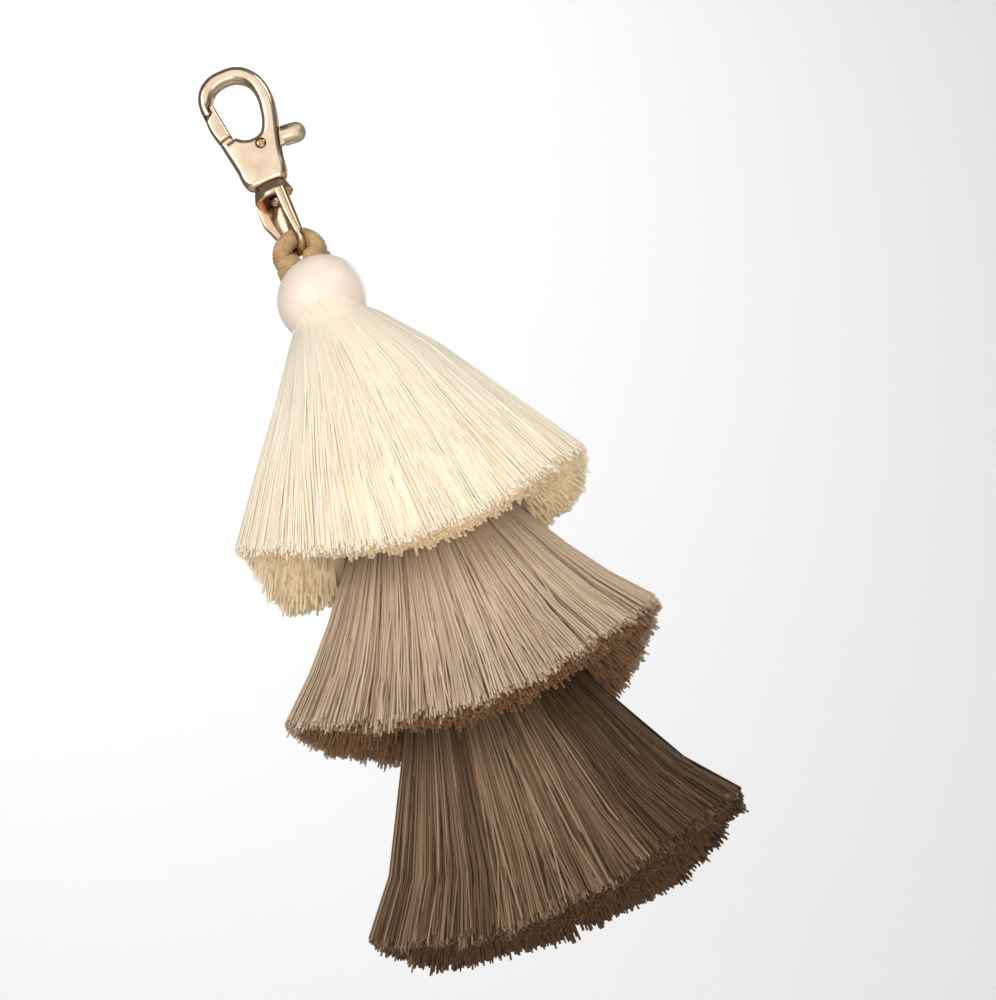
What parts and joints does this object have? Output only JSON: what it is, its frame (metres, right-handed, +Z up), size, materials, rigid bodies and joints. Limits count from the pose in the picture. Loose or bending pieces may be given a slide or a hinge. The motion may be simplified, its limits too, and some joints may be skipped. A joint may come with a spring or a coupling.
{
  "type": "three-tier tassel charm",
  "caption": "Tiered tassel charm: three flared fringe skirts under a round bead, hung by a wrapped cord loop from a swivel snap hook.",
  "frame": {"origin": "the inside of the hook's top, where the charm hangs on what carries it", "axes": "+Z up along the charm; XZ is the plane of the flat hook, with the thumb knob towards +X; -Y faces the viewer of the picture"},
  "size_m": [0.0756, 0.0685, 0.1817],
  "materials": {
    "gold_metal": "polished pale rose gold plating",
    "loop_cord": "cord wound closely with tan thread",
    "bead": "smooth, soft gloss",
    "cream_yarn": "fine straight yarn, cut ends",
    "beige_yarn": "fine straight yarn, cut ends",
    "taupe_yarn": "fine straight yarn, cut ends"
  },
  "bodies": {
    "clasp": {"hook": "gold_metal", "rivet": "gold_metal"},
    "gate": {"gate": "gold_metal"},
    "tassel": {"swivel_eye": "gold_metal", "hanging_loop": "loop_cord", "bead": "bead", "fringe_cream": "cream_yarn", "fringe_beige": "beige_yarn", "fringe_taupe": "taupe_yarn"}
  },
  "joints": [
    {"name": "gate_hinge", "type": "hinge", "parent": "clasp", "child": "gate", "pos_m": [0.00105, 0, -0.0142], "axis": [0, 1, 0], "range_deg": [0, 24], "stiffness_Nm_per_rad": 0.05, "springref_deg": -17.19},
    {"name": "swivel", "type": "hinge", "parent": "clasp", "child": "tassel", "pos_m": [0, 0, -0.0222], "axis": [0, 0, 1], "continuous": true}
  ]
}
